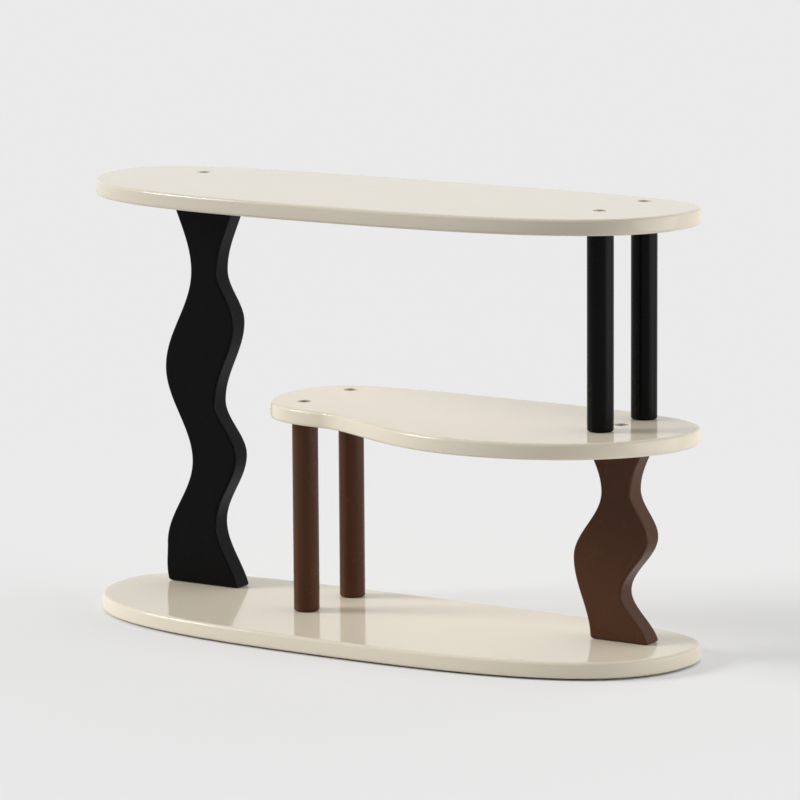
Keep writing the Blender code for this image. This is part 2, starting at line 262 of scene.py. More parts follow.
class Skin:
    """Gathers grids and flat fills into one closed mesh, with two paint values for every point.

    edge is 1 along a rounded edge, where lacquer is rubbed; bare_inside_and_shade is 1 inside a drilled hole,
    which is unlacquered, and in the boards painted near black as the shade in the hole.
    """

    def __init__(self):
        self.points = np.zeros((0, 3))
        self.edge = np.zeros(0)
        self.bare_inside_and_shade = np.zeros(0)
        self.faces = []

    def grid(self, points, edge=0.0, bare_inside_and_shade=0.0, closed=False):
        """Quads between rows of points, where each row runs once round. Returns the rows' point numbers."""
        rows, columns, _ = points.shape
        numbers = len(self.points) + np.arange(rows * columns).reshape(rows, columns)
        self.points = np.concatenate([self.points, points.reshape(-1, 3)])
        self.edge = np.concatenate([self.edge, np.broadcast_to(edge, (rows, columns)).ravel()])
        self.bare_inside_and_shade = np.concatenate([self.bare_inside_and_shade, np.broadcast_to(bare_inside_and_shade, (rows, columns)).ravel()])
        here = numbers if closed else numbers[:-1]
        there = np.roll(numbers, -1, axis=0) if closed else numbers[1:]
        corners = (here, np.roll(here, -1, axis=1), np.roll(there, -1, axis=1), there)
        self.faces += np.stack(corners, axis=-1).reshape(-1, 4).tolist()
        return numbers

    def fill(self, *loops):
        """Triangles across the level face inside the first closed row of points and outside the others.

        All the points are joined into triangles that keep to the rows. A triangle stays where a line from its
        middle to the right crosses the rows an odd number of times.
        """
        numbers = np.concatenate(loops)
        counts = [len(loop) for loop in loops]
        starts = np.repeat(np.cumsum([0] + counts[:-1]), counts)
        here = np.arange(len(numbers))
        there = starts + (here - starts + 1) % np.repeat(counts, counts)
        place = self.points[numbers, :2]
        edges = np.stack([here, there], axis=-1).tolist()
        flat = [Vector(point) for point in place]
        _, _, joined, *_ = delaunay_2d_cdt(flat, edges, [], WHOLE_HULL, FILL_EPSILON, False)
        triangles = np.array(joined)
        middle = place[triangles].mean(axis=1)[:, None, :] - place
        along = place[there] - place
        rising = along[:, 1] > 0
        straddles = (middle[..., 1] < 0) != (middle[..., 1] < along[:, 1])
        to_the_left = along[:, 0] * middle[..., 1] > along[:, 1] * middle[..., 0]
        crossings = (straddles & (to_the_left == rising)).sum(axis=1)
        self.faces += numbers[triangles[crossings % 2 == 1]].tolist()

    def capped(self, points, edge=0.0):
        """A grid whose first and last rows are filled."""
        rows = self.grid(points, edge=edge)
        self.fill(rows[0])
        self.fill(rows[-1])

    def piece(self, node, look):
        """The mesh as a piece at the origin that stands for a node and rides on the body."""
        name = node + "_finished"
        mesh = bpy.data.meshes.new(name)
        mesh.from_pydata(self.points.tolist(), [], self.faces)
        for label, values in (("edge", self.edge), ("bare_inside_and_shade", self.bare_inside_and_shade)):
            layer = mesh.attributes.new(label, "FLOAT", "POINT")
            layer.data.foreach_set("value", values.astype(np.float32))
        mesh.materials.append(look)
        face_out(mesh)
        mesh.shade_smooth()
        mesh.set_sharp_from_angle(angle=SHARP_ANGLE)
        made = bpy.data.objects.new(name, mesh)
        bpy.context.scene.collection.objects.link(made)
        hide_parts(node)
        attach(made, BODY)


# Boards

def right_end_knot(board, front_drop):
    """The knot at a board's right end; its handle to the front reaches front_drop of the way."""
    low, high = board
    return (high.x, WIDEST_Y), (0.0, -front_drop * (WIDEST_Y - low.y)), (0.0, high.y - WIDEST_Y)


def level_knot(x, y, reach_back, reach_on):
    return (x, y), (reach_back, 0.0), (reach_on, 0.0)


def long_outline(board):
    """The base's or the top's outline: full round ends, a deep front curve and a flatter back."""
    low, high = board
    half = high.x
    right = right_end_knot(board, END_DROP)
    _, to_front, to_back = right
    left = (-half, WIDEST_Y), to_back, to_front
    front = level_knot(0.0, low.y, -FRONT_REACH * half, FRONT_REACH * half)
    back = level_knot(0.0, high.y, BACK_REACH * half, -BACK_REACH * half)
    return outline([front, right, back, left])


def middle_outline(board):
    """The middle board's outline: a narrow lobe round the brown posts, a waist, then a wide round end."""
    low, high = board
    length = high.x - low.x

    def knot(place, y, reach_back, reach_on):
        return level_knot(low.x + place * length, y, reach_back * length, reach_on * length)

    front_post, rear_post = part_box("brown_post_front"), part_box("brown_post_rear")
    lobe_y = (front_post[0].y + rear_post[1].y) / 2
    waist_y = front_post[0].y - LOBE_MARGIN
    lobe = (low.x, lobe_y), (0.0, high.y - lobe_y), (0.0, LOBE_DROP * (waist_y - lobe_y))
    waist = knot(WAIST_PLACE, waist_y, -WAIST_REACH_LEFT, WAIST_REACH_RIGHT)
    bulge = knot(BULGE_PLACE, low.y, -BULGE_REACH_LEFT, BULGE_REACH_RIGHT)
    back = knot(BACK_PLACE, high.y, BACK_REACH_RIGHT, -BACK_REACH_LEFT)
    right = right_end_knot(board, MIDDLE_END_DROP)
    return outline([bulge, right, back, lobe, waist])


def rim_rows(board, edge_line, radius):
    """A board's edge from its top face round to its underside, with the paint of each row.

    A row is the outline moved in along its normals: a flat margin, a quarter circle, the upright side, a
    quarter circle and a flat margin.
    """
    low, high = board
    drawn, deep, paint = eased(radius, ARC_STEPS)
    flat = [radius + FLAT_MARGIN]
    insets = np.concatenate([flat, drawn, drawn[::-1], flat])[:, None, None]
    heights = np.concatenate([[high.z], high.z - deep, low.z + deep[::-1], [low.z]])
    paints = np.concatenate([[0.0], paint, paint[::-1], [0.0]])
    places, normals = edge_line
    flat_rows = places - insets * normals
    levels = np.broadcast_to(heights[:, None, None], flat_rows.shape[:2] + (1,))
    return np.concatenate([flat_rows, levels], axis=-1), paints[:, None]


def screw_hole(spot, near, far, ease):
    """A screw's hole from the upright's side of a board to its outer side, and which of its rows are
    unlacquered.

    It has the shank's width, then the head's from SINK under the outer face, and both mouths are rounded.
    """
    way = math.copysign(1.0, far - near)
    drawn, deep, _ = eased(ease, SMALL_ARC_STEPS)
    narrow = SCREW_RADIUS + FIT
    wide = HEAD_RADIUS + HEAD_ROOM
    seat = far - way * SINK
    margin = ease + MOUTH_MARGIN
    radii = [[narrow + margin], narrow + drawn, [narrow, wide], wide + drawn[::-1], [wide + margin]]
    heights = [[near], near + way * deep, [seat, seat], far - way * deep[::-1], [far]]
    # Rows between the mouths are unlacquered, and painted near black as the shade in the hole
    lacquered = np.zeros(len(deep) + 1)
    bare_and_hole_shade = np.concatenate([lacquered, [1.0, 1.0], lacquered])
    points = turned_at(spot, np.concatenate(radii), np.concatenate(heights), HOLE_COLUMNS)
    return points, bare_and_hole_shade[:, None]


def blind_hole(skin, spot, face, floor, radius):
    """A straight hole with a flat floor and a narrow lacquered ring round its mouth, whose row it returns."""
    points = turned_at(spot, [radius + MOUTH_MARGIN, radius, radius], [face, face, floor], HOLE_COLUMNS)
    # The inside is unlacquered; in a board it is painted near black as the shade in the hole
    mouth, _, bottom = skin.grid(points, bare_inside_and_shade=np.array([[0.0], [1.0], [1.0]]))
    skin.fill(bottom)
    return mouth


def pin_hole(skin, pin, face, deep_up):
    """A blind hole with room for a pin, going up or down from a face. Returns the row of its mouth."""
    low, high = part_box(pin)
    floor = high.z + FIT if deep_up else low.z - FIT
    return blind_hole(skin, centre_of(pin), face, floor, PIN_RADIUS + FIT)


def make_board(node, edge_line, sizes, look):
    """A board: its rounded edge, its two flat faces, and the holes for its screws and pins."""
    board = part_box(node)
    low, high = board[0].z, board[1].z
    skin = Skin()
    rim, paint = rim_rows(board, edge_line, sizes.rim_radius)
    rows = skin.grid(rim, edge=paint)
    loops = {high: [rows[0]], low: [rows[-1]]}
    for upright, carriers in UPRIGHTS.items():
        for end, carrier in zip(ENDS, carriers):
            if carrier == node:
                drill_board(skin, loops, upright, end, (low, high), sizes.mouth_ease)
    skin.fill(*loops[high])
    skin.fill(*loops[low])
    skin.piece(node, look)


def drill_board(skin, loops, upright, end, levels, ease):
    """Opens the holes of one upright's end in a board, and adds their mouths to the loops of its faces."""
    low, high = levels
    near, far = (high, low) if end == "foot" else (low, high)
    spot = centre_of(f"screw_{upright}_{end}")
    points, bare_and_hole_shade = screw_hole(spot, near, far, ease)
    rows = skin.grid(points, bare_inside_and_shade=bare_and_hole_shade)
    loops[near].append(rows[0])
    loops[far].append(rows[-1])
    for pin in pins_of(upright, end):
        loops[near].append(pin_hole(skin, pin, near, deep_up=end == "top"))


# Panels and posts

def wave(knots, foot, top, heights):
    """How far a panel's wavy edge lies from its axis at each height.

    Between two knots the edge is a cubic stretch whose handles reach WAVE_HANDLE of the way up, leaning as
    the knots say; it is read off at the given heights.
    """
    share, offset, lean = (np.array(part) for part in zip(*knots))
    level = foot + share * (top - foot)
    reach = WAVE_HANDLE * np.diff(level)
    t = np.linspace(0.0, 1.0, WAVE_STEPS + 1)[:, None]
    across = cubic(t, offset[:-1], offset[:-1] + lean[:-1] * reach, offset[1:] - lean[1:] * reach, offset[1:])
    upward = cubic(t, level[:-1], level[:-1] + reach, level[1:] - reach, level[1:])
    return np.interp(heights, upward.T.ravel(), across.T.ravel())


def section_corners(radius):
    """The points round a panel's four corners, counterclockwise from the front right.

    Gives each point's side, its offset from the corner's centre and its paint. A corner is a flat margin, a
    quarter circle and a flat margin.
    """
    angle = quarter(ARC_STEPS)
    sides, offsets = [], []
    for turn, side in enumerate(((1, -1), (1, 1), (-1, 1), (-1, -1))):
        round_angle = angle + (turn - 1) * math.pi / 2
        across = np.stack([np.cos(round_angle), np.sin(round_angle)], axis=-1)
        along = np.stack([-across[:, 1], across[:, 0]], axis=-1)
        before = radius * across[:1] - FLAT_MARGIN * along[:1]
        after = radius * across[-1:] + FLAT_MARGIN * along[-1:]
        offsets += [before, radius * across, after]
        sides += [side] * (len(angle) + 2)
    paint = np.tile(np.concatenate([[0.0], np.sin(2 * angle), [0.0]]), 4)
    return np.array(sides), np.concatenate(offsets), paint


def make_panel(upright, left_knots, right_knots, edge, look):
    """A flat panel with wavy sides: a section with rounded corners carried up between its two edges.

    Each row spans from the left edge to the right edge at its height; the end rows are drawn in by a quarter
    circle all round. Both ends are drilled for an insert and two pins.
    """
    node = upright.replace("panel", "wave_panel")
    low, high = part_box(node)
    axis = centre_of(f"screw_{upright}_foot")
    drawn, deep, end_paint = eased(edge, ARC_STEPS)
    straight = np.linspace(low.z + edge, high.z - edge, WAVE_ROWS + 1)[1:-1]
    heights = np.concatenate([low.z + deep, straight, high.z - deep[::-1]])
    insets = np.concatenate([drawn, np.zeros(len(straight)), drawn[::-1]])
    row_paint = np.concatenate([end_paint, np.zeros(len(straight)), end_paint[::-1]])
    left = wave(left_knots, low.z, high.z, heights) + insets + edge
    right = wave(right_knots, low.z, high.z, heights) - insets - edge
    deep_half = (high.y - low.y) / 2 - insets - edge
    sides, offsets, corner_paint = section_corners(edge)
    x = np.where(sides[:, 0] > 0, right[:, None], left[:, None]) + axis.x + offsets[:, 0]
    y = sides[:, 1] * deep_half[:, None] + axis.y + offsets[:, 1]
    z = np.broadcast_to(heights[:, None], x.shape)
    skin = Skin()
    rows = skin.grid(np.stack([x, y, z], axis=-1), edge=np.maximum(row_paint[:, None], corner_paint))
    for end, row, face, way in (("foot", rows[0], low.z, 1), ("top", rows[-1], high.z, -1)):
        mouths = [blind_hole(skin, axis, face, face + way * BORE_DEPTH, INSERT_RADIUS + FIT)]
        for pin in pins_of(upright, end):
            mouths.append(pin_hole(skin, pin, face, deep_up=end == "foot"))
        skin.fill(row, *mouths)
    skin.piece(node, look)


def make_post(node, ease, look):
    """A round post, turned in one go from the floor of its foot's bore to the floor of its top's bore."""
    low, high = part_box(node)
    axis = centre_of(node)
    radius = (high.x - low.x) / 2
    bore = INSERT_RADIUS + FIT
    drawn, deep, paint = eased(ease, ARC_STEPS)
    radii = np.concatenate([[bore, bore], radius - drawn, radius - drawn[::-1], [bore, bore]])
    foot = [low.z + BORE_DEPTH, low.z]
    top = [high.z, high.z - BORE_DEPTH]
    heights = np.concatenate([foot, low.z + deep, high.z - deep[::-1], top])
    paints = np.concatenate([[0.0, 0.0], paint, paint[::-1], [0.0, 0.0]])
    skin = Skin()
    skin.capped(turned_at(axis, radii, heights, POST_COLUMNS), edge=paints[:, None])
    skin.piece(node, look)


def make_uprights(kind, left_knots, right_knots, sizes, look):
    """The wavy panel and the two posts of one colour."""
    make_panel(kind + "_panel", left_knots, right_knots, sizes.panel_edge, look)
    for node in nodes_of(kind + "_post"):
        make_post(node, sizes.post_ease, look)


# Fasteners and pads

def screw_surface(length, sizes):
    """Rows of a socket screw, head up, with the head's underside at height 0.

    They run from a round ring on the floor of the six-sided socket up its wall, over the rounded head, under
    it, down the thread and to the tip. A six-sided row has the radius flat / cos(angle from the middle of its
    side). A thread's row lies below its crest by the depth times a zigzag of height / pitch + angle / turn.
    """
    angle = once_round(SCREW_COLUMNS)
    side = math.pi / 3
    six = sizes.socket_radius * math.cos(side / 2) / np.cos(np.mod(angle, side) - side / 2)
    ring = np.ones(SCREW_COLUMNS)
    drawn, deep, _ = eased(sizes.head_ease, SMALL_ARC_STEPS)
    thread_rows = int(ROWS_A_TURN * (length - TIP_CHAMFER) / sizes.thread_pitch)
    down = -np.linspace(0.0, length - TIP_CHAMFER, thread_rows)
    turns = down[:, None] / sizes.thread_pitch + angle / (2 * math.pi)
    thread = SCREW_RADIUS - sizes.thread_depth * zigzag(turns)
    wall = HEAD_HEIGHT - sizes.socket_ease
    socket = np.stack([SOCKET_RING * sizes.socket_radius * ring, six, six, six + sizes.socket_ease])
    head = np.concatenate([HEAD_RADIUS - drawn, [HEAD_RADIUS]])[:, None] * ring
    tip = [(SCREW_RADIUS - TIP_CHAMFER) * ring]
    radii = np.concatenate([socket, head, thread, tip])
    head_heights = np.concatenate([HEAD_HEIGHT - deep, [0.0]])
    floor = HEAD_HEIGHT - sizes.socket_depth
    heights = [[floor, floor, wall, HEAD_HEIGHT], head_heights, down, [-length]]
    return turned(radii, np.concatenate(heights), SCREW_COLUMNS)


def make_screw(node, sizes, look):
    """A socket screw, its head down where it goes in from below."""
    low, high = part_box(node)
    axis = centre_of(node)
    way = 1 if node.endswith("top") else -1
    seat = high.z - HEAD_HEIGHT if way > 0 else low.z + HEAD_HEIGHT
    skin = Skin()
    points = screw_surface(high.z - low.z - HEAD_HEIGHT, sizes)
    skin.capped(placed(points, (axis.x, axis.y, seat), way))
    skin.piece(node, look)


def make_insert(node, sizes, look):
    """A threaded sleeve: down its coarse outer thread, across the end, up its bore and across to the start.

    The outer radius lies below its crest by the depth times a zigzag of height / pitch + angle / full turn.
    """
    low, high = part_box(node)
    axis = centre_of(node)
    angle = once_round(SCREW_COLUMNS)
    rows_down = int(2 * ROWS_A_TURN * (high.z - low.z) / sizes.insert_pitch)
    down = np.linspace(high.z, low.z, rows_down)
    turns = down[:, None] / sizes.insert_pitch + angle / (2 * math.pi)
    outer = INSERT_RADIUS - sizes.insert_depth * zigzag(turns)
    bore = np.full((2, SCREW_COLUMNS), SCREW_RADIUS + FIT)
    heights = np.concatenate([down, [low.z, high.z]])
    skin = Skin()
    skin.grid(turned_at(axis, np.concatenate([outer, bore]), heights, SCREW_COLUMNS), closed=True)
    skin.piece(node, look)


def make_pin(node, sizes, look):
    """A fluted pin with chamfered ends.

    At angle a the radius is lowered by the depth times cos(n a) squared, where cos(n a) is above 0.
    """
    low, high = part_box(node)
    axis = centre_of(node)
    hump = np.maximum(0.0, np.cos(PIN_FLUTES * once_round(PIN_COLUMNS))) ** 2
    fluted = PIN_RADIUS - sizes.flute_depth * hump
    tip = np.full(PIN_COLUMNS, PIN_RADIUS - PIN_CHAMFER)
    heights = np.array([low.z, low.z + PIN_CHAMFER, high.z - PIN_CHAMFER, high.z])
    skin = Skin()
    skin.capped(turned_at(axis, np.stack([tip, fluted, fluted, tip]), heights, PIN_COLUMNS))
    skin.piece(node, look)


def make_pad(node, sizes, look):
    """A round pad with rounded edges."""
    low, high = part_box(node)
    axis = centre_of(node)
    radius = (high.x - low.x) / 2
    drawn, deep, paint = eased(sizes.pad_ease, SMALL_ARC_STEPS)
    radii = np.concatenate([radius - drawn, radius - drawn[::-1]])
    heights = np.concatenate([high.z - deep, low.z + deep[::-1]])
    paints = np.concatenate([paint, paint[::-1]])
    skin = Skin()
    skin.capped(turned_at(axis, radii, heights, POST_COLUMNS), edge=paints[:, None])
    skin.piece(node, look)


# Shader nodes

class Wire:
    """A number on its way through the nodes; each sign between two of them adds one Math node."""

    def __init__(self, tree, socket):
        self.tree = tree
        self.socket = socket

    def joined(self, operation, first, second):
        return self.tree.add("ShaderNodeMath", {"operation": operation}, {0: first, 1: second})

    def __add__(self, other):
        return self.joined("ADD", self, other)

    def __radd__(self, other):
        return self.joined("ADD", other, self)

    def __sub__(self, other):
        return self.joined("SUBTRACT", self, other)

    def __rsub__(self, other):
        return self.joined("SUBTRACT", other, self)

    def __mul__(self, other):
        return self.joined("MULTIPLY", self, other)

    def __rmul__(self, other):
        return self.joined("MULTIPLY", other, self)


class Tree:
    """A node tree, emptied, to which nodes are added one at a time."""

    def __init__(self, owner):
        owner.use_nodes = True
        self.tree = owner.node_tree
        self.tree.nodes.clear()

    def add(self, kind, settings=None, inputs=None, output=0):
        """Adds a node, sets its settings, then its sockets to values or links. Returns the wanted output."""
        node = self.tree.nodes.new(kind)
        for name, value in (settings or {}).items():
            setattr(node, name, value)
        for name, value in (inputs or {}).items():
            if isinstance(value, Wire):
                self.tree.links.new(value.socket, node.inputs[name])
            else:
                node.inputs[name].default_value = value
        return Wire(self, node.outputs[output]) if node.outputs else None

    def place(self, scale=(1.0, 1.0, 1.0)):
        """Object coordinates in metres, stretched along each axis."""
        where = self.add("ShaderNodeTexCoord", output="Object")
        return self.add("ShaderNodeMapping", inputs={"Vector": where, "Scale": scale})

    def noise(self, place, scale, detail=2.0, roughness=0.5):
        inputs = {"Vector": place, "Scale": scale, "Detail": detail, "Roughness": roughness}
        return self.add("ShaderNodeTexNoise", inputs=inputs)

    def paint(self, label):
        return self.add("ShaderNodeAttribute", {"attribute_name": label}, output="Fac")

    def blend(self, share, first, second):
        """A colour that goes from the first to the second."""
        return self.add("ShaderNodeMix", {"data_type": "RGBA"}, {0: share, 6: first, 7: second}, output=2)

    def toned(self, share, colour, dark, light):
        """A colour that goes from dark times itself to light times itself."""
        return self.blend(share, scaled(colour, dark), scaled(colour, light))

    def mixed(self, share, first, second):
        """A surface that goes from the first to the second."""
        return self.add("ShaderNodeMixShader", inputs={0: share, 1: first, 2: second})

    def stretch(self, value, low, high, to_low=0.0, to_high=1.0):
        """A value eased from to_low, at low and under, to to_high, at high and over."""
        inputs = {"Value": value, "From Min": low, "From Max": high, "To Min": to_low, "To Max": to_high}
        return self.add("ShaderNodeMapRange", {"interpolation_type": "SMOOTHSTEP"}, inputs)

    def larger(self, first, second):
        return self.add("ShaderNodeMath", {"operation": "MAXIMUM"}, {0: first, 1: second})

    def background_ray(self):
        """1 for a ray that shows the plain background: from the camera, off a gloss or through glass."""
        kinds = ("Camera", "Glossy", "Transmission")
        camera, glossy, through = (self.add("ShaderNodeLightPath", output=f"Is {kind} Ray") for kind in kinds)
        return self.larger(self.larger(camera, glossy), through)

    def bump(self, height, depth):
        """A relief whose full height is depth metres."""
        return self.add("ShaderNodeBump", inputs={"Height": height, "Distance": depth, "Strength": 1.0})

    def shown(self, shader):
        self.add("ShaderNodeOutputMaterial", inputs={"Surface": shader})

    def surface(self, inputs):
        self.shown(self.add("ShaderNodeBsdfPrincipled", inputs=inputs))


def scaled(colour, factor=1.0):
    return (*(part * factor for part in colour), 1.0)


def grey(tone):
    return scaled((tone, tone, tone))


def between(share, low, high):
    """low where the share is 0, high where it is 1."""
    return low + (high - low) * share


def new_look(name):
    made = bpy.data.materials.new(name)
    return made, Tree(made)


# Finishes

# Lacquer: scales of its patterns, its relief, how edges are rubbed, how its sheen varies, and bare holes
CLOUD_SCALE = 14.0
FLOW_SCALE = 55.0
PEEL_SCALE = 900.0
PEEL_DEPTH = 0.0000015
LACQUER_IOR = 1.5
RUBBED_SHARE = 0.12
RUBBED_TONE = 1.25
LEAST_SHEEN = 0.75
FLOW_SHEEN = 0.5
EDGE_SHEEN = 0.2
BARE_ROUGHNESS = 0.75

# Depth of the tool's marks on turned metal, and how much the pads' edges are rubbed
MARK_DEPTH = 0.00001
PAD_RUBBED_SHARE = 0.3


def satin_lacquer(name, colour, bare_and_hole_shade, roughness, gloss, mottle):
    """Sprayed satin lacquer: faint clouds in the colour, uneven sheen, an orange-peel relief, rubbed edges.

    Inside a drilled hole the lacquer gives way to the unlacquered wood of the uprights; in the boards its
    colour is unlacquered board darkened to near black as painted shade in the hole.
    """
    look, tree = new_look(name)
    place = tree.place()
    cloud = tree.noise(place, CLOUD_SCALE, detail=4.0)
    flow = tree.noise(place, FLOW_SCALE, detail=3.0)
    peel = tree.noise(place, PEEL_SCALE)
    edge = tree.paint("edge")
    bare_inside_and_shade = tree.paint("bare_inside_and_shade")
    clouded = tree.toned(cloud, colour, dark=1.0 - mottle, light=1.0 + mottle)
    rubbed = tree.blend(edge * flow * RUBBED_SHARE, clouded, scaled(colour, RUBBED_TONE))
    sheen = roughness * (LEAST_SHEEN + FLOW_SHEEN * flow + EDGE_SHEEN * edge)
    tree.surface({
        # Inside the holes the unlacquered colour, in the boards darkened as painted shade
        "Base Color": tree.blend(bare_inside_and_shade, rubbed, scaled(bare_and_hole_shade)),
        "Roughness": between(bare_inside_and_shade, sheen, BARE_ROUGHNESS),
        "IOR": LACQUER_IOR,
        "Specular IOR Level": gloss,
        "Normal": tree.bump(peel, PEEL_DEPTH),
    })
    return look


def dark_steel(finish):
    """Blackened steel: cloudy dark metal with fine lathe marks and worn bright specks."""
    look, tree = new_look("blackened_steel")
    cloud = tree.noise(tree.place(), scale=400.0, detail=4.0)
    marks = tree.noise(tree.place((1.0, 1.0, 14.0)), scale=600.0)
    worn = tree.stretch(cloud, low=0.58, high=0.72, to_high=0.5)
    tree.surface({
        "Base Color": tree.toned(worn, finish.steel, dark=1.0, light=2.2),
        "Metallic": 1.0,
        "Roughness": between(cloud, low=0.34, high=0.54),
        "Normal": tree.bump(marks, MARK_DEPTH),
    })
    return look


def plain_brass(finish):
    """Machined brass: warm metal, dulled in clouds, with fine turning marks."""
    look, tree = new_look("machined_brass")
    cloud = tree.noise(tree.place(), scale=350.0, detail=4.0)
    marks = tree.noise(tree.place((1.0, 1.0, 20.0)), scale=500.0)
    tree.surface({
        "Base Color": tree.toned(cloud, finish.brass, dark=0.75, light=1.1),
        "Metallic": 1.0,
        "Roughness": between(cloud, low=0.26, high=0.46),
        "Normal": tree.bump(marks, MARK_DEPTH),
    })
    return look


def pale_beech(finish):
    """Beech along the pin: drawn-out pale grain with short darker flecks."""
    look, tree = new_look("pale_beech")
    grain = tree.noise(tree.place((1.0, 1.0, 0.06)), scale=1500.0, detail=3.0)
    specks = tree.noise(tree.place((1.0, 1.0, 0.15)), scale=2600.0)
    fleck = tree.stretch(specks, low=0.62, high=0.70, to_high=0.6)
    grained = tree.toned(grain, finish.beech, dark=0.8, light=1.15)
    dark_fleck = scaled(finish.beech, factor=0.5)
    tree.surface({
        "Base Color": tree.blend(fleck, grained, dark_fleck),
        "Roughness": between(grain, low=0.62, high=0.74),
        "Normal": tree.bump(grain, depth=0.00003),
    })
    return look


def soft_rubber(finish):
    """Moulded rubber: near black with a fine pebbled relief and paler rubbed edges."""
    look, tree = new_look("soft_rubber")
    place = tree.place()
    pebble = tree.noise(place, scale=2200.0)
    dust = tree.noise(place, scale=300.0, detail=4.0)
    dusted = tree.toned(dust, finish.rubber, dark=0.8, light=1.3)
    rubbed = PAD_RUBBED_SHARE * tree.paint("edge")
    paler = scaled(finish.rubber, factor=2.2)
    tree.surface({
        "Base Color": tree.blend(rubbed, dusted, paler),
        "Roughness": between(dust, low=0.78, high=0.90),
        "Normal": tree.bump(pebble, depth=0.00003),
    })
    return look


def cream_look(finish):
    return satin_lacquer(
        "cream_satin", finish.cream, finish.bare_board_and_hole_shade, roughness=finish.cream_sheen, gloss=0.25, mottle=0.012
    )


def black_look(finish):
    return satin_lacquer(
        "black_satin", finish.black, finish.bare_wood, roughness=finish.dark_sheen, gloss=0.07, mottle=0.03
    )


def brown_look(finish):
    return satin_lacquer(
        "brown_satin", finish.brown, finish.bare_wood, roughness=finish.dark_sheen, gloss=0.12, mottle=0.05
    )


# Settings

def length(name, description, default):
    return FloatProperty(
        name=name, description=description, default=default, min=0.0, unit="LENGTH", precision=5
    )


def colour(name, description, default):
    return FloatVectorProperty(
        name=name, description=description, default=default, size=3, min=0.0, max=1.0, subtype="COLOR"
    )


def share(name, description, default):
    return FloatProperty(
        name=name, description=description, default=default, min=0.0, max=1.0, subtype="FACTOR"
    )


def angle(name, description, degrees):
    return FloatProperty(name=name, description=description, default=math.radians(degrees), subtype="ANGLE")


def amount(name, description, default):
    return FloatProperty(name=name, description=description, default=default, min=0.0)


class ShelfBoards(bpy.types.PropertyGroup):
    rim_radius: length("Rim radius", "Rounding of the boards' edges", 0.0025)
    mouth_ease: length("Hole mouth", "Rounding of the mouths of the screw holes", 0.00035)


class ShelfUprights(bpy.types.PropertyGroup):
    panel_edge: length("Panel edge", "Rounding of the wavy panels' edges", 0.002)
    post_ease: length("Post ends", "Rounding of the posts' ends", 0.0015)


class ShelfFittings(bpy.types.PropertyGroup):
    socket_radius: length("Socket radius", "Half the width across corners of the screws' socket", 0.0017)
    socket_depth: length("Socket depth", "Depth of the screws' socket", 0.0016)
    socket_ease: length("Socket mouth", "Chamfer of the socket's mouth", 0.0002)
    head_ease: length("Head edge", "Rounding of the screw heads", 0.0006)
    thread_pitch: length("Thread pitch", "Rise of the screws' thread in one turn", 0.0008)
    thread_depth: length("Thread depth", "Depth of the screws' thread", 0.0004)
    insert_pitch: length("Insert pitch", "Rise of the inserts' outer thread in one turn", 0.0025)
    insert_depth: length("Insert depth", "Depth of the inserts' outer thread", 0.0006)
    flute_depth: length("Pin flutes", "Depth of the grooves along the pins", 0.0003)
    pad_ease: length("Pad edge", "Rounding of the pads' edges", 0.0004)


class ShelfFinish(bpy.types.PropertyGroup):
    cream: colour("Cream", "Lacquer of the boards", (0.755, 0.685, 0.56))
    black: colour("Black", "Lacquer of the tall panel and the upper posts", (0.003, 0.003, 0.003))
    brown: colour("Brown", "Lacquer of the short panel and the lower posts", (0.072, 0.029, 0.013))
    # Unlacquered board inside the boards' holes, darkened to near black as painted shade in the holes
    bare_board_and_hole_shade: colour("Bare board", "Inside of the holes in the boards", (0.028, 0.02, 0.013))
    bare_wood: colour("Bare wood", "Inside of the holes in the uprights", (0.40, 0.28, 0.17))
    steel: colour("Steel", "Screws", (0.16, 0.15, 0.14))
    brass: colour("Brass", "Threaded inserts", (0.65, 0.48, 0.20))
    beech: colour("Beech", "Locating pins", (0.62, 0.42, 0.24))
    rubber: colour("Rubber", "Pads under the base", (0.035, 0.035, 0.035))
    cream_sheen: share("Cream roughness", "How dull the cream lacquer is", 0.11)
    dark_sheen: share("Dark roughness", "How dull the black and brown lacquers are", 0.26)


class ShelfStudio(bpy.types.PropertyGroup):
    backdrop: share("Backdrop", "Tone of the background and of the floor out of the shadow", 0.8228)
    key_strength: amount("Key light", "Strength of the soft light from the left front", 2.5)
    key_spread: angle("Key spread", "Angle that the key light fills, seen from the shelf", 23.0)
    key_turn: angle("Key turn", "Turn of the key light to the right of straight on", -60.0)
    key_height: angle("Key height", "Height of the key light above level", 27.0)
    side_strength: amount("Side light", "Strength of the broad light from the right", 1.92)
    side_spread: angle("Side spread", "Angle that the side light fills, seen from the shelf", 60.0)
    side_turn: angle("Side turn", "Turn of the side light to the right of straight on", 103.0)
    side_height: angle("Side height", "Height of the side light above level", 9.0)
    left_glow: amount("Left glow", "Brightness of the pale wall at the left", 1.15)
    front_glow: amount("Front glow", "Brightness of the room above and behind the camera", 0.52)
    back_glow: amount("Back glow", "Brightness of the pale wall behind the shelf", 2.53)
    corner_glow: amount("Corner glow", "Brightness of the wall behind the shelf at the right", 0.75)
    floor_tone: share("Floor tone", "Share of the background's own tone in the lit floor", 0.4)
    floor_near: length("Floor", "How far the lit floor reaches before it starts to fade", 0.55)
    floor_far: length("Floor end", "Where the floor has faded into the background", 0.95)
    aim: FloatVectorProperty(
        name="Aim", description="Point that the camera looks at", default=(0.0119, 0.0107, 0.1835),
        size=3, subtype="TRANSLATION", unit="LENGTH"
    )
    azimuth: angle("Azimuth", "Turn of the camera to the right of straight on", 33.158)
    elevation: angle("Elevation", "Height of the camera above level", 9.462)
    roll: angle("Roll", "Tilt of the camera about its own axis", -0.393)
    distance: length("Distance", "From the camera to the point it looks at", 3.85)
    lens: FloatProperty(
        name="Lens", description="Focal length of the camera", default=226.93,
        min=1.0, subtype="DISTANCE_CAMERA"
    )


